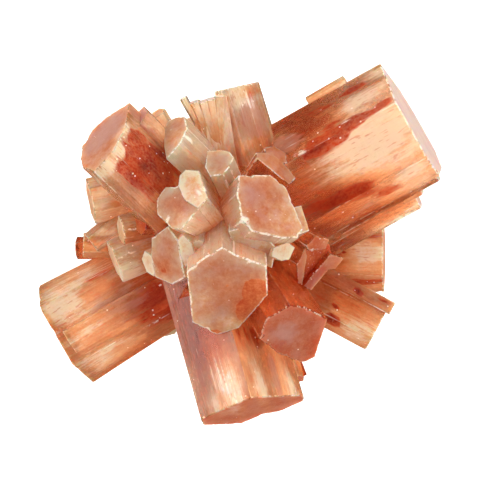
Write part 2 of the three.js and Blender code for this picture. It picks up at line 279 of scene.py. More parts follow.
# %% The short crystals round the waist
grow("notch crystal", "ember", (10.4, -4, 5), 325, 50, [
    (0.2, 3.3), (-2.7, 0.8), (-2.5, -1), (0.4, -1.9), (2.2, -2.4), (3.5, 0.6), (3.1, 2.7), (1.6, 3.4),
], laths=[
    (-0.8, [(1.2, 3.4), (1.5, 4.1), (3.2, 3.9), (3.8, 1.6), (2.6, 1.2)], "blade"),
    (-0.6, [(1.3, 3.9), (-1.1, 3.4), (-2.8, 1.5), (-2.6, 0.9), (0.6, 2.9)], "blade"),
    (-0.8, [(-2.7, 0.7), (1.7, 0.2), (2.5, 0), (3, -2.1), (1.4, -2), (0.8, -1.1), (-2.6, -0.7)], "blade"),
])
grow("left shelf", "peach", (-14.5, -3.2, 4.2), 202, 10, hexagon(5.6, 4.4))
grow("left step", "peach", (-13.7, 0.6, 5.6), 190, 16, hexagon(4, 3))
grow("left ledge", "glassy", (-18.6, -1.1, 0.4), 178, 3, hexagon(3.2, 3.2))
grow("left wedge", "peach", (-17.5, -1, 1.4), 217, 6, hexagon(3.2, 3.4), root=1.3)
grow("left fin", "terracotta", (-19.5, -1.5, -2.4), 181, -5, hexagon(2.9, 3.4))
grow("left nub", "ember", (-11.2, 1.4, 8), 186, 30, hexagon(2.8, 2.6))
grow("rib", "peach", (-17.6, 4.3, 2.4), 192, 8, hexagon(5.9, 5))
grow("rear nub", "peach", (-9.2, 15.2, 4.8), 121, 16, hexagon(2.2, 3.2))
grow("side crystal", "ember", (8.1, -17.8, 1), 292, 6, hexagon(2.8, 3.6))
grow("sliver on the great arm", "peach", (14.1, 19.3, 2.9), 29, 9, hexagon(1.4, 1.8), length=5.4)

# %% The underside: a foot, four legs and the spurs between them
grow("foot", "peach", (0.5, -0.3, -18.4), 300, -90, hexagon(11.6, 9.6, 0.8))
grow("right leg", "long", (12.6, 6.4, -14.6), 27, -46, hexagon(7.6, 6.6, 0.5))
grow("left leg", "high", (-12.8, -6.6, -14), 207, -44, hexagon(8, 6.2, -0.4))
grow("near leg", "low", (3.4, -13.4, -12.6), 284, -42, hexagon(7, 6.2, 0.6))
grow("far leg", "great", (-9.4, 9.8, -14.2), 134, -46, hexagon(7.4, 6.4))
for finish, tip, heading, lift, wide, thick in [
    ("beige", (7.4, 11.6, -5.4), 62, -22, 5.6, 5),
    ("peach", (1.6, 10.6, -11.6), 84, -48, 5.2, 4.8),
    ("rose", (-4.4, 14.4, -5.2), 108, -19, 5.8, 5.2),
    ("peach", (-15.6, 4, -7.2), 166, -24, 6, 5),
    ("beige", (-9.4, -11.2, -7), 236, -26, 5, 5.4),
    ("peach", (-3.6, -11.6, -12.2), 252, -47, 5.2, 4.6),
    ("terracotta", (10.6, -9.6, -9.8), 318, -36, 6.6, 5.6),
    ("beige", (13.4, -0.6, -12), 356, -41, 5.8, 5.6),
    ("rose", (-12.2, -0.4, -13.4), 184, -48, 5, 4.6),
]:
    grow("spur", finish, tip, heading, lift, hexagon(wide, thick))

# %% The fan of needles beside the straight arm
FAN_ROOT = Vector((-1.2, 8.4, 3.6))
FAN_THICK = 3.0
for heading, lift, length, wide in [
    (119, 4, 10, 1.1), (113, 8, 9, 1.6), (106, 9, 8.7, 1.7), (99, 9, 8.8, 1.6), (92, 8, 9, 1.7),
]:
    tip = FAN_ROOT + axes_of(heading, lift).col[2] * length
    grow("needle", "fibrous", tip, heading, lift, hexagon(wide, FAN_THICK), root=0.5, length=length)
print(len(solids), "solids in all")

# %% [markdown]
# ## Helpers for node trees
#
# Geometry and material trees are both made of nodes whose inputs are either a number or a link.
# One short function adds a node to the tree in hand and fills its inputs. The others name the
# steps of arithmetic that come up again and again, so that a tree reads as a list of formulas.

# %% Node helpers, which add to whichever tree is called tree at the time
def add(kind, values=None, **settings):
    """Adds a node, applies its settings, and sets or links each input by name or number.

    A node that is given as a value stands for its first output.
    """
    node = tree.nodes.new(kind)
    for name, value in settings.items():
        setattr(node, name, value)
    for key, value in (values or {}).items():
        if isinstance(value, bpy.types.Node):
            value = value.outputs[0]
        if isinstance(value, bpy.types.NodeSocket):
            tree.links.new(value, node.inputs[key])
        else:
            node.inputs[key].default_value = value
    return node


def calc(operation, a, b=0.0, c=0.0, clamp=False):
    """One step of arithmetic."""
    node = add("ShaderNodeMath", {0: a, 1: b, 2: c}, operation=operation, use_clamp=clamp)
    return node.outputs[0]


def times(first, *others, clamp=False):
    for other in others:
        first = calc("MULTIPLY", first, other, clamp=clamp)
    return first


def plus(value, other, strength, clamp=False):
    """The value, and the other one times the strength, added up in one step."""
    return calc("MULTIPLY_ADD", other, strength, value, clamp=clamp)


def minus(a, b, clamp=False):
    return calc("SUBTRACT", a, b, clamp=clamp)


def largest(first, *others):
    for other in others:
        first = calc("MAXIMUM", first, other)
    return first


def blend(factor, low, high):
    """From low to high as factor goes from 0 to 1."""
    return plus(low, factor, minus(high, low))


def ease(value, low, high):
    """0 at low, 1 at high, and smooth between them."""
    node = add("ShaderNodeMapRange", {"Value": value, "From Min": low, "From Max": high},
               interpolation_type="SMOOTHSTEP")
    return node.outputs["Result"]


def vector_of(**parts):
    return add("ShaderNodeCombineXYZ", parts).outputs[0]


def vector_calc(operation, a, b, result="Vector"):
    """One step of vector arithmetic."""
    return add("ShaderNodeVectorMath", {0: a, 1: b}, operation=operation).outputs[result]


def scaled(vector, factor):
    node = add("ShaderNodeVectorMath", {0: vector, "Scale": factor}, operation="SCALE")
    return node.outputs["Vector"]


def noise(vector, scale, detail=2.0, roughness=0.5):
    node = add("ShaderNodeTexNoise",
               {"Vector": vector, "Scale": scale, "Detail": detail, "Roughness": roughness})
    return node.outputs["Fac"]


def drawn_noise(vector, frequency, detail=1.0, roughness=0.5):
    """Noise with its own frequency along each axis: it's drawn out where that is small."""
    return noise(vector_calc("MULTIPLY", vector, frequency), 1.0, detail, roughness)


# %% [markdown]
# ## One crystal, by Geometry Nodes
#
# A prism could be an extruded outline, but then its sides would be dead flat. Here a grid is
# wrapped round the outline: its columns go round the crystal and its rows run from the root to the
# tip, over the rim and in to the middle of the flat end. The columns are close together, so noise
# that is stretched along the axis can press in the long fine ridges that all aragonite has, and a
# rougher noise chips the rim. All of it only takes material away, so the crystal never outgrows
# its solid.

# %% The tree "aragonite prism", in millimetres
PRISM_INPUTS = [
    ("Around", "Int"), ("Rings", "Int"), ("End Rings", "Int"), ("Length", "Float"),
    ("Root Scale", "Float"), ("Lean", "Vector"), ("Rim", "Float"), ("Ridge", "Float"),
    ("Chip", "Float"), ("Seed", "Float"), ("Heading", "Float"), ("Lift", "Float"),
    ("Start", "Vector"), ("Number", "Int"), ("Material", "Material"),
]


def geometry_tree(name, inputs):
    """An empty tree with a geometry socket at each end, and its named inputs."""
    group = bpy.data.node_groups.new(name, "GeometryNodeTree")
    for label, kind in [("Geometry", "Geometry"), *inputs]:
        group.interface.new_socket(label, in_out="INPUT", socket_type="NodeSocket" + kind)
    group.interface.new_socket("Geometry", in_out="OUTPUT", socket_type="NodeSocketGeometry")
    return group, group.nodes.new("NodeGroupInput").outputs


def end_tree(geometry):
    """The last nodes: everything real, and in the material that the tree is given."""
    real = add("GeometryNodeRealizeInstances", {0: geometry})
    painted = add("GeometryNodeSetMaterial", {"Geometry": real, "Material": given["Material"]})
    add("NodeGroupOutput", {0: painted})


tree, given = geometry_tree("aragonite prism", PRISM_INPUTS)
rows = calc("ADD", calc("ADD", given["Rings"], given["End Rings"]), 1)
columns = calc("ADD", given["Around"], 1)
grid = add("GeometryNodeMeshGrid", {"Vertices X": columns, "Vertices Y": rows})
index = tree.nodes.new("GeometryNodeInputIndex").outputs[0]
column = calc("FLOOR", calc("DIVIDE", calc("ADD", index, 0.5), rows))
row = minus(index, times(column, rows))

# %% [markdown]
# Row 0 is the middle of the root and row 1 its edge. The rows from there to Rings run up the side,
# the rim slants from row Rings to the next, and the last rows run in over the flat end to its
# middle. A row's number is whole, so it is compared with halves.

# %% How far along the side a row is, and how far in over the end
share = calc("DIVIDE", minus(row, 1), minus(given["Rings"], 2), clamp=True)
end_row = minus(row, given["Rings"])
on_end = calc("GREATER_THAN", end_row, 0.5)
at_root = calc("LESS_THAN", row, 0.5)
left_to_go = minus(given["End Rings"], end_row)
inwards = calc("DIVIDE", left_to_go, minus(given["End Rings"], 2), clamp=True)
spread = blend(on_end, minus(1.0, at_root), inwards)
side_length = minus(given["Length"], given["Rim"])
below_rim = calc("LESS_THAN", row, minus(given["Rings"], 0.5))
height = minus(side_length, times(given["Rim"], below_rim))
height = blend(on_end, times(share, height), given["Length"])
at_rim = calc("COMPARE", row, calc("ADD", given["Rings"], 0.5), 0.75)  # 1 on the rim's two rows

# %% The point of the outline that a column follows, from the outline's middle
position = tree.nodes.new("GeometryNodeInputPosition").outputs[0]
middle = add("GeometryNodeAttributeStatistic", {
    "Geometry": given["Geometry"], "Attribute": position,
}, data_type="FLOAT_VECTOR", domain="POINT").outputs["Mean"]
spot = add("GeometryNodeSampleIndex", {
    "Geometry": given["Geometry"], "Value": position,
    "Index": calc("MODULO", column, given["Around"]),
}, data_type="FLOAT_VECTOR", domain="POINT").outputs[0]
outwards = vector_calc("SUBTRACT", spot, middle)
radius = vector_calc("LENGTH", outwards, (0, 0, 0), "Value")

# %% Ridges along the sides and chips off the rim, both as a depth towards the axis
FINE_RIDGES = (1.9, 1.9, 0.03)  # frequency to the left, up and along
BROAD_RIDGES = (0.5, 0.5, 0.05)
SEED_SHIFT = (7.3, 3.1, 5.7)  # moves the noise on from one crystal to the next
CHIPS_REACH = 7.0  # chips start this many rim widths below the end
surface_point = vector_calc("ADD", spot, vector_of(Z=height))
seeded = vector_calc("ADD", surface_point, scaled(SEED_SHIFT, given["Seed"]))
fine = drawn_noise(seeded, FINE_RIDGES)
broad = drawn_noise(seeded, BROAD_RIDGES)
ridges = calc("ADD", ease(fine, 0.3, 0.62), ease(broad, 0.4, 0.6))
near_rim = ease(height, plus(given["Length"], given["Rim"], -CHIPS_REACH), side_length)
chip = times(ease(noise(seeded, 1.3, 3.0, 0.6), 0.5, 0.7), near_rim, given["Chip"])
depth = plus(chip, ridges, given["Ridge"])
insets = calc("ADD", on_end, calc("GREATER_THAN", end_row, 1.5))  # one rim in, then two
depth = plus(depth, insets, given["Rim"])
kept = minus(1.0, calc("DIVIDE", depth, radius), clamp=True)

# %% The grid wrapped round it, with a lean of the end where the crystal has one
SUNK = 0.5  # share of a chip's depth that also lowers the end there
WELD = 0.0005  # mm within which the grid's seam and middles close
offset = scaled(outwards, times(kept, spread))
across = scaled(vector_calc("ADD", middle, offset), blend(share, given["Root Scale"], 1.0))
first_end = times(on_end, calc("LESS_THAN", end_row, 1.5))
height = minus(height, times(chip, SUNK, first_end))
lean = vector_calc("DOT_PRODUCT", given["Lean"], across, "Value")
leaned = plus(height, calc("DIVIDE", height, given["Length"]), lean)
of_points = add("GeometryNodeFieldOnDomain", {0: at_rim}, data_type="FLOAT", domain="POINT")
marked = add("GeometryNodeStoreNamedAttribute", {
    "Geometry": grid, "Name": "rim", "Value": of_points,
}, data_type="FLOAT", domain="CORNER")
wrapped = add("GeometryNodeSetPosition", {
    "Geometry": marked, "Position": vector_calc("ADD", across, vector_of(Z=leaned)),
})
closed = add("GeometryNodeMergeByDistance", {"Geometry": wrapped, "Distance": WELD})

# %% Out of its own frame and into the cluster's
upright = add("GeometryNodeTransform", {"Geometry": closed, "Rotation": (math.pi / 2, 0, math.pi / 2)})
turned = vector_of(Y=times(given["Lift"], -1.0), Z=given["Heading"])
placed = add("GeometryNodeTransform",
             {"Geometry": upright, "Rotation": turned, "Translation": given["Start"]})
numbered = add("GeometryNodeStoreNamedAttribute", {
    "Geometry": placed, "Name": "crystal", "Value": given["Number"],
}, data_type="INT", domain="FACE")
end_tree(numbered)
prism = tree
print("tree:", prism.name, "with", len(prism.nodes), "nodes")

# %% One object for each crystal, with the tree as its modifier
POINT_SPACING = 0.32  # mm between the points round an outline
RING_SPACING = 0.9  # and between the rows along a crystal
FEWEST_RINGS, FEWEST_END_RINGS = 5, 4
RIM = 0.14  # width of the worn edge round a flat end
THIN_RIM = 0.4  # share of it on the thinnest crystal
CHIP = 0.24  # depth of the chips in that edge
STOUT = 3.0  # radius from which a crystal has the full rim, ridges and chips

aragonite = bpy.data.materials.new("aragonite")


def walk(outline, spacing):
    """Counter-clockwise, the outline's corners, with points between them at about this spacing."""
    corners = list(zip(outline, outline[1:] + outline[:1]))
    if sum(a[0] * b[1] - b[0] * a[1] for a, b in corners) < 0:
        outline = outline[::-1]
    points = []
    for start, end in zip(outline, outline[1:] + outline[:1]):
        steps = max(1, round(math.dist(start, end) / spacing))
        for k in range(steps):
            points.append(tuple(a + (b - a) * k / steps for a, b in zip(start, end)) + (0.0,))
    return points


def set_inputs(modifier, values):
    """Sets a modifier's inputs by the identifiers of their sockets."""
    for item in modifier.node_group.interface.items_tree:
        if item.item_type == "SOCKET" and item.in_out == "INPUT" and item.name in values:
            modifier[item.identifier] = values[item.name]


crystals = bpy.data.collections.new("crystals")
scene.collection.children.link(crystals)
for number, solid in enumerate(solids):
    ridge = FINISHES[solid["finish"]]["ridge"]
    points = walk(solid["outline"], POINT_SPACING)
    mesh = bpy.data.meshes.new(f"outline {number}")
    mesh.from_pydata(points, [], [])
    crystal = bpy.data.objects.new(f"crystal {number:02d}", mesh)
    crystals.objects.link(crystal)
    modifier = crystal.modifiers.new("prism", "NODES")
    modifier.node_group = prism
    radii = np.linalg.norm(np.array(points) - np.mean(points, 0), axis=1)
    small = min(1.0, float(radii.min()) / STOUT)
    set_inputs(modifier, {
        "Around": len(points),
        "Rings": max(FEWEST_RINGS, round(solid["length"] / RING_SPACING) + 1),
        "End Rings": max(FEWEST_END_RINGS, round(float(radii.mean()) / RING_SPACING) + 2),
        "Length": solid["length"], "Root Scale": float(solid["root"]), "Lean": (*solid["lean"], 0.0),
        "Rim": RIM * (THIN_RIM + (1 - THIN_RIM) * small), "Ridge": ridge * small, "Chip": CHIP * small,
        "Seed": float(number), "Heading": math.radians(solid["heading"]),
        "Lift": math.radians(solid["lift"]), "Number": number, "Material": aragonite,
        "Start": solid["tip"] - solid["axes"].col[2] * solid["length"],
    })

# %% [markdown]
# ## Grown into one
#
# Overlapping shells would show as ghosts inside a see-through stone, so the prisms are joined by a
# boolean union, also in Geometry Nodes. The number stored on every face survives the join. It says
# later which crystal a face belongs to. Last, a block trims the foot flat, so the cluster rests.

# %% The tree "grown together"
BLOCK = (80.0, 80.0, 20.0)  # mm, wider than the cluster; its top is the ground
tree, given = geometry_tree("grown together", [
    ("Crystals", "Collection"), ("Ground", "Float"), ("Material", "Material"),
])
gathered = add("GeometryNodeCollectionInfo", {"Collection": given["Crystals"], "Separate Children": True})
joined = add("GeometryNodeMeshBoolean", {"Mesh": gathered}, operation="UNION", solver="MANIFOLD")
block = add("GeometryNodeMeshCube", {"Size": BLOCK})
low = vector_of(Z=minus(given["Ground"], BLOCK[2] / 2))
sunk = add("GeometryNodeTransform", {"Geometry": block, "Translation": low})
cut = add("GeometryNodeMeshBoolean", {"Mesh 1": joined, "Mesh 2": sunk},
          operation="DIFFERENCE", solver="MANIFOLD")
end_tree(cut)

# %% The tree at work, and its result as a plain mesh
grower = into_scene("grower", bpy.data.meshes.new("grower"))
growth = grower.modifiers.new("grown together", "NODES")
growth.node_group = tree
set_inputs(growth, {"Crystals": crystals, "Ground": -HEART.z, "Material": aragonite})
bpy.context.view_layer.update()
evaluated = grower.evaluated_get(bpy.context.evaluated_depsgraph_get())
skin = bpy.data.meshes.new_from_object(evaluated)
skin.name = "aragonite_skin"
print("joined faces:", len(skin.polygons), "attributes:", [a.name for a in skin.attributes])

for helper in [*crystals.objects, grower]:
    bpy.data.objects.remove(helper)
bpy.data.collections.remove(crystals)

# %% Clean up the join
TINY = 0.002  # mm; shorter edges close up


def islands(faces):
    """The faces in groups that hang together."""
    left = set(faces)
    while left:
        reached = [left.pop()]
        for face in reached:
            found = {other for edge in face.edges for other in edge.link_faces} & left
            left -= found
            reached += found
        yield reached


work = bmesh.new()
work.from_mesh(skin)
bmesh.ops.dissolve_degenerate(work, edges=work.edges, dist=TINY)
shells = sorted(islands(work.faces), key=len)
for bubble in shells[:-1]:  # specks left shut in where crystals meet
    bmesh.ops.delete(work, geom=bubble, context="FACES")
print("shells:", len(shells), "faces kept:", len(work.faces),
      "open edges:", sum(not edge.is_manifold for edge in work.edges),
      "volume in cubic mm:", round(work.calc_volume(signed=True)))
work.to_mesh(skin)
work.free()

# %% [markdown]
# ## Where on its crystal each point lies
#
# The finish follows the crystals: ridges and stains run along each one, its tip is paler than its
# root, and the worn edge of its end gets a painted highlight. So each corner of each face stores where it
# lies on its own crystal. A corner belongs to one face only, so neighbouring crystals don't blend.

# %% Reading and writing the mesh, and distances from an outline
def read(data, name, kind, width=1):
    values = np.zeros(len(data) * width, kind)
    data.foreach_get(name, values)
    return values.reshape(-1, width) if width > 1 else values


def write(mesh, name, kind, values, field="vector"):
    attribute = mesh.attributes.new(name, kind, "CORNER")
    attribute.data.foreach_set(field, np.ascontiguousarray(values, np.float32).ravel())


def edge_distance(points, outline):
    """How far each point is from the nearest side of the outline."""
    nearest = np.full(len(points), np.inf)
    for start, end in zip(np.array(outline), np.roll(np.array(outline), -1, 0)):
        side = end - start
        share = np.clip((points - start) @ side / (side @ side), 0, 1)
        nearest = np.minimum(nearest, np.linalg.norm(points - start - share[:, None] * side, axis=1))
    return nearest


def ray_distance(points, outline):
    """How far each point is from the nearest ray through a corner, from the outline's middle."""
    middle = np.mean(walk(outline, POINT_SPACING), 0)[:2]
    rays = np.array(outline) - middle
    rays /= np.linalg.norm(rays, axis=1)[:, None]
    arms = points - middle
    beside = np.abs(arms[:, None, 0] * rays[None, :, 1] - arms[:, None, 1] * rays[None, :, 0])
    return np.where(arms @ rays.T > 0, beside, np.inf).min(1)


corners = len(skin.loops)
corner_face = np.repeat(np.arange(len(skin.polygons)), read(skin.polygons, "loop_total", np.int64))
corner_normal = read(skin.polygons, "normal", np.float64, 3)[corner_face]
corner_crystal = read(skin.attributes["crystal"].data, "value", np.int64)[corner_face]
corner_vertex = read(skin.loops, "vertex_index", np.int64)
corner_position = read(skin.vertices, "co", np.float64, 3)[corner_vertex]
corner_rim = read(skin.attributes["rim"].data, "value", np.float64)
print("corners:", corners, "of them on a rim:", int((corner_rim > 0.5).sum()))

# %% What each corner stores
END_FACING = 0.8  # least cosine between the end's faces and the crystal's axis
EDGE_GLOW = 0.12  # mm over which the painted highlight on a side's edge fades
EDGE_SHINE = 0.9  # how bright that painted edge highlight is at the tip, against the rim's
EDGE_REACH = 0.9  # mm over which a flat end gets darker from its edge in
EDGE_PALER = 0.60  # and how much paler it is at the edge
GRAIN_SHIFT = np.array([31.0, 17.0, 11.0])  # mm between the noises of one crystal and the next

corner_grain = np.zeros((corners, 3))  # left, up and along, in mm from the root
corner_place = np.zeros((corners, 3))  # share of the length, on the end or not, painted highlight
corner_look = np.zeros((corners, 4))  # tone of the end or the tip, root, rust, dusk
corner_clear = np.zeros(corners)
for number, solid in enumerate(solids):
    mine = corner_crystal == number
    finish = FINISHES[solid["finish"]]
    axes = np.array(solid["axes"])
    start = np.array(solid["tip"]) - axes[:, 2] * solid["length"]
    local = (corner_position[mine] - start) @ axes
    section = local[:, :2]
    share = local[:, 2] / solid["length"]
    on_end = corner_normal[mine] @ axes[:, 2] > END_FACING
    # painted highlight: a bright line down each side edge, stronger towards the tip, and on the rim
    edge = np.exp(-ray_distance(section, solid["outline"]) / EDGE_GLOW) * share * ~on_end
    painted_shine = finish["rim"] * np.maximum(corner_rim[mine], EDGE_SHINE * edge)
    paler = EDGE_PALER * np.exp(-edge_distance(section, solid["outline"]) / EDGE_REACH)
    tone = np.where(on_end, finish["end"] + finish["end"] ** 2 * paler, finish["tip"])
    corner_grain[mine] = local + GRAIN_SHIFT * number
    corner_place[mine] = np.stack([share, on_end, painted_shine], 1)
    corner_look[mine, 0] = tone
    corner_look[mine, 1:] = [finish["root"], finish["rust"], finish["dusk"]]
    corner_clear[mine] = finish["clear"]

# %% [markdown]
# ## Stains and pale patches
#
# Iron-stained clay got in between the growing crystals here and there and left patches in them.
# Each patch is an ellipse across and along its crystal, soft at its edge. The material breaks the
# edge up with noise later, so the patches look soaked in rather than painted on. A glint is a
# painted highlight: a small bright spot, or a stretch of edge painted as bright as the rim's highlight.

# %% Patches by crystal and kind: centre from above in mm, half length and half width, strength
RUST, CREAM, AMBER, HAZE, GLINT = range(5)
PATCH_REACH = 1.5  # the field fades out this much beyond the ellipse
PATCHES = {
    "great arm": {
        RUST: [(10, 12, 1.8, 1.3, 1.5), (9.1, 11.4, 1.5, 0.9, 1.4), (11.6, 13.1, 2.2, 1.5, 1.4),
            (13.8, 14.7, 2, 0.8, 1.4), (15.6, 15.8, 1.8, 0.45, 1.2), (17.6, 17.1, 1.5, 0.5, 1.1),
            (7.8, 15.9, 2, 1, 0.55), (10.3, 16.9, 2.4, 0.7, 0.7), (14.4, 19.2, 2.8, 0.5, 0.95),
            (7.4, 13.5, 1.8, 0.7, 0.6), (14.2, 6.6, 3.4, 1.4, 1.1), (9.6, 4.5, 4, 2, 0.75),
            (18.3, 6.4, 2.8, 0.6, 1), (21.4, 8.3, 1.6, 0.3, 0.9)],
        CREAM: [(14.1, 17.1, 2.4, 0.5, 1), (16.5, 12.1, 7.2, 3.2, 1.2), (10.9, 9.3, 5, 1.6, 0.6),
            (15.5, 18.4, 3.2, 0.7, 1), (17, 21.2, 2.2, 0.7, 0.9), (21.1, 8.8, 2, 0.8, 0.9)],
        AMBER: [(8.2, 14.7, 5, 3.2, 0.8), (12.6, 5.5, 7, 2.4, 0.9), (17.8, 4, 4.4, 1.2, 1.2)],
        HAZE: [(6, 12.7, 2.2, 1.5, 0.9), (15.8, 4.7, 2.6, 0.5, 0.8)],
        GLINT: [(20, 3.5, 2.6, 0.3, 0.8), (11.7, 9.1, 0.3, 0.3, 1.5), (7.1, 14.6, 0.4, 0.3, 1.3),
            (7.4, 11.2, 0.7, 0.5, 1.2), (12.8, 14.9, 1.2, 0.18, 0.9), (6.4, 12.6, 1.6, 1.4, 0.4)],
    },
    "long arm": {
        RUST: [(-18, -4.1, 2.6, 0.45, 0.9), (-9.9, -7, 3.8, 3, 0.9)],
        CREAM: [(-22.1, -7.6, 2.2, 1.9, 1.7), (-18.4, -8, 3.2, 0.5, 0.6), (-20.4, -5, 3.5, 1.2, 0.7),
            (-19.4, -11.2, 4, 0.5, 0.6), (-16.7, -13.3, 4.4, 0.4, 0.7), (-16.4, -14.8, 4, 0.9, 0.7)],
        AMBER: [(-13.5, -14.3, 5.5, 1.4, 0.7), (-23.4, -11.1, 1, 3.6, 0.6), (-16.1, -17.7, 7, 0.5, 0.8)],
        HAZE: [(-14.6, -6.6, 4.4, 3.2, 0.55)],
        GLINT: [(-18.3, -3.9, 3.2, 0.9, 0.5), (-10.9, -10, 3, 0.22, 0.8), (-16.2, -12.7, 3.4, 0.22, 0.8),
            (-21.6, -6.6, 2.2, 1.4, 0.4)],
    },
    # the low arm's first cream patch is pale colour and painted sheen on its left face; its glints are
    # painted highlights
    "low arm": {
        RUST: [(8.2, -16, 1.6, 0.4, 0.9), (1.3, -11, 2.2, 1.6, 0.7)],
        CREAM: [(-0.9, -17.6, 3.6, 1.6, 1), (-2.8, -19.5, 1.6, 1.2, 0.8), (2.6, -17.4, 3.4, 0.9, 0.9),
            (6.5, -17.6, 2.4, 0.6, 0.8)],
        AMBER: [(-4.2, -12.3, 3, 2, 0.7), (-3.6, -12.6, 4, 2.4, 0.9), (-4.8, -14.7, 4, 0.8, 0.6),
            (4, -14.6, 2.2, 1.6, 0.6)],
        HAZE: [(4.7, -17, 3, 0.5, 1)],
        GLINT: [(-0.8, -19.2, 0.6, 0.4, 1), (-1.5, -17.4, 4.4, 1.7, 0.75), (-5, -16.6, 4.6, 0.7, 0.4)],
    },
    "high arm": {
        RUST: [(-12.4, 12.9, 1.6, 1.4, 1), (-11.7, 9.5, 3.2, 3, 1.25), (-9.7, 8.1, 2.8, 2.6, 1),
            (-14.3, 9.3, 1.3, 1.2, 1), (-10.4, 11, 1.8, 1.2, 1)],
        CREAM: [(-14.6, 11.3, 0.9, 0.8, 1.4), (-16, 9, 0.9, 2.2, 1), (-14.1, 13.6, 0.5, 1.8, 0.9),
            (-13.3, 6, 3.4, 1, 0.4)],
        AMBER: [(-14.2, 6.4, 4, 1.8, 0.4)],
        HAZE: [(-12.3, 15.9, 1.8, 1.4, 0.8), (-16.6, 13.4, 1.3, 4.2, 0.9)],
    },
    "straight arm": {
        RUST: [(-0.6, 17.9, 0.9, 0.5, 0.8), (1.5, 18.2, 0.6, 0.8, 0.8)],
        CREAM: [(0, 18.1, 2.2, 1, 0.9)],
        AMBER: [(2.9, 13, 2.4, 1.2, 0.7), (1.2, 18.8, 0.8, 3, 0.7)],
        HAZE: [(1.7, 15.4, 2.2, 1.8, 1.3)],
        GLINT: [(0.6, 17.4, 1.2, 1.6, 0.7), (-1.9, 17.5, 1.4, 0.3, 1)],
    },
    "fibrous block": {CREAM: [(-3.4, 14.6, 2.4, 1.6, 0.8)]},
    "pale arm": {
        RUST: [(15.3, 1, 3.6, 0.8, 0.6), (15.3, -4.8, 3.6, 1, 0.8), (15.2, -6.1, 0.5, 0.4, 1.6),
            (13, -1, 0.35, 0.3, 1.2)],
        CREAM: [(15.6, -1, 2.6, 1.3, 1.4)],
        AMBER: [(19, -2.5, 0.4, 5, 1.2), (12, -1.4, 2.6, 3, 0.8)],
    },
    "spotted arm": {
        RUST: [(11.7, -9.5, 1, 0.7, 1.6), (12, -7.8, 0.3, 0.25, 1.7), (15, -6, 0.45, 0.35, 1.8),
            (14.9, -7.9, 0.3, 0.25, 1.2), (17.9, -7, 0.6, 0.3, 1.4), (18.1, -7, 2, 0.4, 0.6)],
        CREAM: [(15.6, -10.6, 2.6, 1.6, 0.9)],
        AMBER: [(13.9, -6.9, 4.6, 2.4, 0.8)],
    },
    "front crystal": {
        CREAM: [(-4.2, -7, 3, 1.4, 0.6), (-0.9, -9.6, 0.9, 2, 0.8)],
        AMBER: [(2, -5.9, 2, 1.9, 1.5), (0.8, -8.1, 1.8, 1.5, 1.5), (-2.9, -10.9, 0.9, 1.3, 1.1),
            (-1.6, -5.1, 1.8, 1.8, 0.6)],
        GLINT: [(1.2, -2.2, 0.2, 0.2, 1.6)],
    },
    "front crystal's twin": {CREAM: [(1.4, 0.2, 2, 2.4, 1.1)]},
    "middle crystal": {
        CREAM: [(5.4, 3, 2.4, 2.6, 0.7)],
        AMBER: [(2.9, 6.8, 1.6, 1.2, 0.4)],
        HAZE: [(1.6, 6, 2.2, 2.4, 0.6)],
        GLINT: [(0.6, 2.9, 0.5, 0.6, 1.7)],
    },
    "left crystal": {AMBER: [(-9.2, -3, 1, 1.1, 0.9)]},
    "pale crystal": {
        CREAM: [(-7, 3, 1.4, 1.6, 0.8)],
        AMBER: [(-7.9, 4.9, 1.2, 1.4, 0.5)],
        GLINT: [(-8.7, 3, 0.25, 0.7, 1.6)],
    },
    "stub crystal": {AMBER: [(8.6, -12.6, 2.4, 1.8, 0.4)], HAZE: [(5.6, -10.9, 2.4, 2.8, 0.6)]},
    "rear crystal": {
        CREAM: [(-7.6, 12.8, 1.2, 1.6, 0.9)],
        HAZE: [(-7.9, 14.6, 1.4, 1.6, 0.4)],
        GLINT: [(-6.3, 12.9, 0.5, 0.3, 1.5)],
    },
    "rib": {CREAM: [(-16.9, 5.2, 0.9, 0.9, 0.9)], AMBER: [(-14.8, 4, 2.4, 1.6, 0.7)]},
    "left step": {AMBER: [(-12.6, 0.4, 1.8, 2, 0.8)], GLINT: [(-13, 1.9, 1.4, 0.2, 1)]},
    "left shelf": {
        CREAM: [(-14.6, -3.8, 2.8, 1.4, 1.1)],
        AMBER: [(-11.6, -2, 1.4, 1.4, 0.5)],
        GLINT: [(-13.8, -1.4, 1.6, 0.2, 1)],
    },
    "left wedge": {CREAM: [(-17, -2.2, 1.4, 0.9, 1)]},
    "left ledge": {RUST: [(-15.4, -0.2, 1.4, 0.9, 0.8)]},
    "pale crystal's twin": {GLINT: [(-4.4, 6.5, 0.3, 0.8, 1.6)]},
    "notch crystal": {RUST: [(9.4, -4.6, 2.2, 2.4, 0.9)], GLINT: [(9, -0.8, 0.6, 0.2, 1.2)]},
    "tucked crystal": {GLINT: [(-7, -7.6, 0.5, 0.3, 1.6)]},
}

# %% The patches as fields on the corners
corner_patch = np.zeros((corners, 5))
corner_name = np.array([solid["crystal"] for solid in solids])[corner_crystal]
headings = {solid["crystal"]: math.radians(solid["heading"]) for solid in solids}
from_above = corner_position[:, :2] + np.array(HEART[:2])
patches = [(name, kind, *row) for name, kinds in PATCHES.items() for kind in kinds for row in kinds[kind]]
for name, kind, x, y, half_length, half_width, strength in patches:
    mine = corner_name == name
    turn = headings[name]
    aside = from_above[mine] - (x, y)
    along = aside @ (math.cos(turn), math.sin(turn))
    across = aside @ (-math.sin(turn), math.cos(turn))
    depth = 1.0 - np.hypot(along / half_length, across / half_width) / PATCH_REACH
    field = strength * np.clip(depth, 0, 1)
    corner_patch[mine, kind] = np.maximum(corner_patch[mine, kind], field)
# the glint patches are painted highlights, added to the same channel as the rim's
corner_place[:, 2] = np.maximum(corner_place[:, 2], corner_patch[:, GLINT])
print(len(patches), "patches on", len(PATCHES), "crystals")

write(skin, "grain", "FLOAT_VECTOR", corner_grain)
write(skin, "place", "FLOAT_VECTOR", corner_place)
write(skin, "look", "FLOAT_COLOR", corner_look, "color")
write(skin, "patch", "FLOAT_COLOR", corner_patch[:, :GLINT], "color")
write(skin, "clear", "FLOAT", corner_clear, "value")

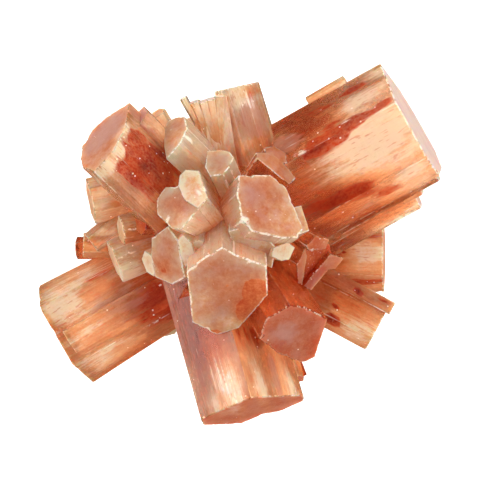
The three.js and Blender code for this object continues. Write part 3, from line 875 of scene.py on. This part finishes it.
# %% To metres, and smooth but for the sharp edges
SHARP = 32  # degrees between faces that stay an edge
skin.transform(Matrix.Translation(HEART))
skin.transform(Matrix.Scale(MM, 4))
skin.shade_smooth()
skin.set_sharp_from_angle(angle=math.radians(SHARP))
cluster = into_scene("aragonite", skin)
print("faces:", len(skin.polygons))

# %% [markdown]
# ## The finish
#
# Aragonite lets light in and scatters it: thin parts glow cream, thick and stained parts a deep
# orange-red. Three things do that together here. Part of the light goes straight through and is
# filtered by a volume absorption, more the further it goes. Part is scattered under the surface.
# And the surface colour itself follows the crystal: root to tip, streaks along the grain, soaked
# patches of iron, a duller end, and painted highlights on the worn rim and as small glints.

# %% The colours
TONES = [  # from the deepest orange-red to the palest cream
    (0.00, (0.48, 0.062, 0.013)),
    (0.25, (0.60, 0.145, 0.040)),
    (0.50, (0.74, 0.275, 0.102)),
    (0.75, (0.88, 0.485, 0.230)),
    (1.00, (0.97, 0.785, 0.555)),
]
RUST_COLOUR = (0.60, 0.062, 0.010)  # iron stains, where they are thin
DEEP_RUST = (0.31, 0.014, 0.002)  # where they are thick
SPOT_COLOUR = (0.06, 0.008, 0.004)  # and in the heart of a strong spot
VEIL = (0.94, 0.74, 0.69)  # milky parts of the flat ends, and the painted reflection on the whitest one
BLUSH = (0.74, 0.44, 0.40)  # bands on the whitest end
HAZE_COLOUR = (0.56, 0.25, 0.17)  # hazy patches on the sides
END_HAZE = (0.58, 0.34, 0.285)  # and on the flat ends
FROST = (0.54, 0.455, 0.325)  # dull flat ends of pale crystals
DEEP_FROST = (0.41, 0.265, 0.165)
MAUVE = (0.38, 0.095, 0.045)  # and of the deeper coloured ones
PALE_MAUVE = (0.46, 0.165, 0.105)
HIGHLIGHT_COLOUR = (1.0, 0.90, 0.78)  # painted highlight on the worn edges, small glints and threads

FACTOR, FIRST, SECOND, RESULT = 0, 6, 7, 2  # the sockets of a Mix node that are for colours


def mixed(factor, low, high):
    """Mixes two colours, each a plain one or a socket."""
    low, high = (c if isinstance(c, bpy.types.NodeSocket) else (*c, 1.0) for c in (low, high))
    node = add("ShaderNodeMix", {FACTOR: factor, FIRST: low, SECOND: high}, data_type="RGBA")
    return node.outputs[RESULT]


# %% The material reads what the corners store
def stored(name):
    return add("ShaderNodeAttribute", attribute_name=name).outputs


aragonite.use_nodes = True
tree = aragonite.node_tree
tree.nodes.clear()
grain = stored("grain")["Vector"]
share, on_end, painted_shine_field = add("ShaderNodeSeparateXYZ", {0: stored("place")["Vector"]}).outputs
look, patch = stored("look"), stored("patch")
at_tip, at_root, rust = add("ShaderNodeSeparateColor", {0: look["Color"]}).outputs[:3]
rusty, creamy, amber = add("ShaderNodeSeparateColor", {0: patch["Color"]}).outputs[:3]
dusk, hazy = look["Alpha"], patch["Alpha"]
on_side = minus(1.0, on_end)

# %% [markdown]
# Noises about zero vary everything: streaks along the grain, fine lines, clouds, a fine speckle and
# a mottle. Their sum frays the patches, whose fields are plain cones until then. Cream and haze
# come up softly, amber and iron with a clear edge.

# %% The noises, and the patches broken up by them
def wave(frequency, detail=3.0):
    return minus(drawn_noise(grain, frequency, detail, 0.65), 0.5)


streak = wave((0.8, 0.8, 0.12))
line = wave((3.4, 3.4, 0.16))
cloud = wave((0.40, 0.40, 0.28), 5.0)
speckle = wave((3.6, 3.6, 2.4))
mottle = minus(noise(grain, 1.3, 6.0, 0.75), 0.5)
ragged = plus(times(cloud, 1.6), streak, 2.0)
ragged = plus(ragged, line, times(on_side, 0.7))
ragged = times(ragged, plus(1.0, on_end, -0.65))


def soaked(field, low=0.35, high=0.85):
    """A patch's cone, broken up by the noises and made nearly a plain shape."""
    broken = times(ragged, ease(field, 0.0, 0.25))
    return ease(plus(broken, field, 1.6), low, high)


lit = soaked(creamy, 0.0, 1.3)
crisp = largest(soaked(amber, 0.85, 1.05), times(soaked(amber, 0.0, 1.2), 0.4))
pool = blend(on_end, soaked(amber, 0.2, 1.0), crisp)
rusty = largest(plus(rusty, creamy, -0.6), 0.0)

# %% How pale each point is: by the finish from root to tip, then by what each pattern adds
tone = blend(ease(share, 0.25, 0.95), at_root, at_tip)
for pattern, strength in [
    (streak, times(on_side, 0.40)), (line, times(on_side, 0.50)), (cloud, plus(0.5, on_end, 0.5)),
    (speckle, 0.45), (mottle, times(on_end, 0.8)), (lit, 0.24), (pool, -0.36),
]:
    tone = plus(tone, pattern, strength)
ramp = add("ShaderNodeValToRGB", {"Fac": tone})
while len(ramp.color_ramp.elements) < len(TONES):
    ramp.color_ramp.elements.new(0.5)
for element, (at, tint) in zip(ramp.color_ramp.elements, TONES):
    element.position = at
    element.color = (*tint, 1.0)
colour = ramp.outputs["Color"]

# %% Iron: in its patches, towards the root, in seams along the grain and in short dashes
rooted = times(rust, ease(share, 0.8, 0.2))
rooted = ease(plus(rooted, ragged, 0.5), 0.25, 1.0)
seam = times(ease(line, -0.17, -0.25), times(on_side, 0.45))
dash = times(ease(drawn_noise(grain, (4.0, 4.0, 0.7)), 0.62, 0.70), on_side, 0.5)
stained = largest(soaked(rusty), rooted, seam, dash)
stained = times(stained, plus(0.93, speckle, 0.7), clamp=True)
thick = plus(calc("ADD", cloud, times(rusty, 0.2)), speckle, 0.35)
iron = mixed(ease(thick, -0.10, 0.35), RUST_COLOUR, DEEP_RUST)
colour = mixed(stained, colour, iron)
colour = mixed(ease(rusty, 1.0, 1.4), colour, SPOT_COLOUR)

# %% [markdown]
# A flat end shows the inside of its crystal: milky clouds, a few thin curved flaws and small flecks.
# The whitest end also has a fine sheet-like grain and bands of a warmer colour; its near-white veil
# is partly its own colour and partly a painted reflection. A dull end is covered in frost or, on
# the deeper coloured crystals, in mauve.

# %% The veil on the flat ends
cloudy = noise(grain, 0.8, 5.0, 0.6)
milk = times(ease(cloudy, 0.42, 0.66), times(on_end, 0.30))
bend = calc("ABSOLUTE", minus(noise(grain, 0.35, 0.0), 0.5))
curve = times(ease(bend, 0.008, 0.003), times(on_end, 0.30))
veil = times(largest(milk, curve), ease(at_tip, 0.2, 0.6))
fleck = times(ease(noise(grain, 5.0, 2.0, 0.6), 0.60, 0.70), ease(cloudy, 0.42, 0.6))
sheet = drawn_noise(grain, (2.6, 0.3, 1.0), 3.0)
whiteness = calc("ADD", plus(-0.3, mottle, 0.8), times(sheet, 1.7))
# the whitest end, the great arm's: near-white partly by its own colour and partly as a painted reflection
whitest_and_reflection = ease(at_tip, 1.04, 1.12)
veil = largest(veil, times(fleck, times(on_end, 0.6)), times(whitest_and_reflection, on_end, whiteness))
veil = times(veil, minus(1.0, ease(amber, 0.0, 0.3)))
colour = mixed(veil, colour, VEIL)
band = drawn_noise(grain, (0.3, 1.7, 1.0), 4.0, 0.7)
colour = mixed(times(ease(band, 0.46, 0.60), whitest_and_reflection, on_end, 0.8), colour, BLUSH)

# %% Haze, and the dull flat ends, except where amber or cream or haze lies on them
haze = mixed(on_end, HAZE_COLOUR, END_HAZE)
colour = mixed(times(soaked(hazy), 0.75), colour, haze)
dull = times(dusk, on_end, minus(1.0, pool), plus(1.0, lit, -0.5))
dull = times(dull, plus(1.0, soaked(hazy, 0.2, 1.2), -0.6))
dull = times(dull, plus(0.75, cloud, 1.2), clamp=True)
patchy = ease(plus(cloud, mottle, 0.3), -0.15, 0.17)
frost = mixed(patchy, DEEP_FROST, FROST)
mauve = mixed(patchy, MAUVE, PALE_MAUVE)
colour = mixed(dull, colour, mixed(ease(at_tip, 0.5, 0.7), mauve, frost))

# %% Painted highlights: on the worn edges, as tiny glints and as threads along the grain
gaps = ease(plus(noise(grain, 1.1, 2.0), speckle, 0.5), 0.28, 0.50)
highlight_breaks = times(speckle, times(ease(painted_shine_field, 0.7, 1.1), 3.0))
combed = times(line, on_side, ease(painted_shine_field, 0.05, 0.25))
highlight_breaks = plus(highlight_breaks, combed, 1.8)
glint = times(ease(plus(highlight_breaks, painted_shine_field, gaps), 0.25, 0.85), 0.85)
glint_cells = add("ShaderNodeTexVoronoi", {"Vector": grain, "Scale": 1.6})
chance = add("ShaderNodeSeparateColor", {0: glint_cells.outputs["Color"]}).outputs[0]
glint_size = times(ease(plus(chance, soaked(rusty), 0.22), 0.80, 1.02), 0.17)
sparkle = calc("LESS_THAN", glint_cells.outputs["Distance"], glint_size)
thread_highlight = times(ease(line, 0.16, 0.25), ease(streak, -0.02, 0.12), on_side, 0.6)
# painted highlight: rim glints, white dots and threads, all mixed towards a near-white colour
painted_highlight = largest(glint, times(sparkle, 0.8), thread_highlight)
colour = mixed(painted_highlight, colour, HIGHLIGHT_COLOUR)

# %% [markdown]
# Light goes straight in where neither stain, painted highlight, milky cloud nor the flat end stops it.
# What doesn't go in is scattered just under the surface, red light furthest. Inside, the absorption
# takes out the blue first, so the thick parts glow orange.

# %% The surface and the inside
BUMP_DEPTH = 0.00015  # metres, like the next one
SCATTER_REACH = 0.0038  # how far red light gets under the surface
SCATTER_SHARES = (1.0, 0.42, 0.18)  # and the share of that for red, green and blue
ABSORBED = 70.0  # how strongly the inside filters light, per metre
INSIDE_COLOUR = (1.0, 0.54, 0.28, 1.0)
rough = plus(0.20, on_end, 0.14)
rough = plus(rough, dull, 0.30)
rough = plus(rough, line, 0.25, clamp=True)
milky = times(ease(cloud, 0.0, 0.25), 0.35)
pooled = times(largest(lit, soaked(hazy)), 0.45)
covered = largest(times(stained, 0.5), painted_highlight, milky, pooled, times(on_end, 0.76))
through = times(stored("clear")["Fac"], minus(1.0, covered), clamp=True)
relief = plus(noise(grain, 2.2, 4.0, 0.65), line, on_side)
bump = add("ShaderNodeBump", {"Strength": 0.45, "Distance": BUMP_DEPTH, "Height": relief})
surface = add("ShaderNodeBsdfPrincipled", {
    "Base Color": colour, "Roughness": rough, "IOR": 1.6, "Specular IOR Level": 0.25,
    "Normal": bump, "Transmission Weight": through, "Subsurface Weight": 0.75,
    "Subsurface Radius": SCATTER_SHARES, "Subsurface Scale": SCATTER_REACH,
})
inside = add("ShaderNodeVolumeAbsorption", {"Color": INSIDE_COLOUR, "Density": ABSORBED})
add("ShaderNodeOutputMaterial", {"Surface": surface, "Volume": inside})
print("material:", aragonite.name, "with", len(tree.nodes), "nodes")

# %% [markdown]
# ## Floor and light
#
# Small minerals are mostly shown on a light table, which fills the shadow from below and shines
# through the thin parts. The floor glows a little for that. A large soft light low on the left
# brings out the ridges, and weaker ones on the other sides and the sky fill the rest.

# %% The floor
FLOOR_SIZE = 1.2  # metres
FLOOR_DROP = 0.0002  # keeps it clear of the foot
floor_mesh = bpy.data.meshes.new("floor")
half = FLOOR_SIZE / 2
square = [(-half, -half, 0), (half, -half, 0), (half, half, 0), (-half, half, 0)]
floor_mesh.from_pydata(square, [], [(0, 1, 2, 3)])
floor = into_scene("floor", floor_mesh)
floor.location.z = -FLOOR_DROP
floor.visible_glossy = False
pale_floor = bpy.data.materials.new("pale_floor")
pale_floor.use_nodes = True
for name, value in {
    "Base Color": (0.85, 0.85, 0.85, 1.0), "Roughness": 0.9,
    "Emission Color": (1.0, 1.0, 1.0, 1.0), "Emission Strength": 0.80,
}.items():
    pale_floor.node_tree.nodes["Principled BSDF"].inputs[name].default_value = value
floor_mesh.materials.append(pale_floor)
floor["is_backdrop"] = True

# %% The lights
def soft_light(name, heading, lift, power, distance=0.50, size=0.30, mirrored=False):
    """A square area light aimed at the heart. Only a mirrored one shows in the gloss."""
    light = bpy.data.lights.new(name, "AREA")
    light.shape = "SQUARE"
    light.size = size
    light.energy = power
    towards = axes_of(heading, lift).col[2]
    holder = into_scene(name, light)
    holder.location = HEART * MM + towards * distance
    holder.rotation_euler = towards.to_track_quat("Z", "Y").to_euler()
    holder.visible_glossy = mirrored


soft_light("left key", 165, 32, 0.9, distance=0.45, mirrored=True)
soft_light("far fill", 80, 35, 0.8)
soft_light("right fill", 350, 30, 1.4)
soft_light("near fill", 255, 35, 0.5)
world = bpy.data.worlds.new("studio")
world.use_nodes = True
sky = world.node_tree.nodes["Background"].inputs
sky["Color"].default_value = (1.0, 1.0, 1.0, 1.0)
sky["Strength"].default_value = 0.46
world.cycles_visibility.glossy = False
scene.world = world
scene.view_settings.view_transform = "Standard"

# %% Hand the piece to the frame
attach(cluster, "root")
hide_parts(NODE)

visual_box = [list(map(float, corner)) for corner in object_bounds()]
print("visual box in mm:", [[round(v / MM, 2) for v in corner] for corner in visual_box])
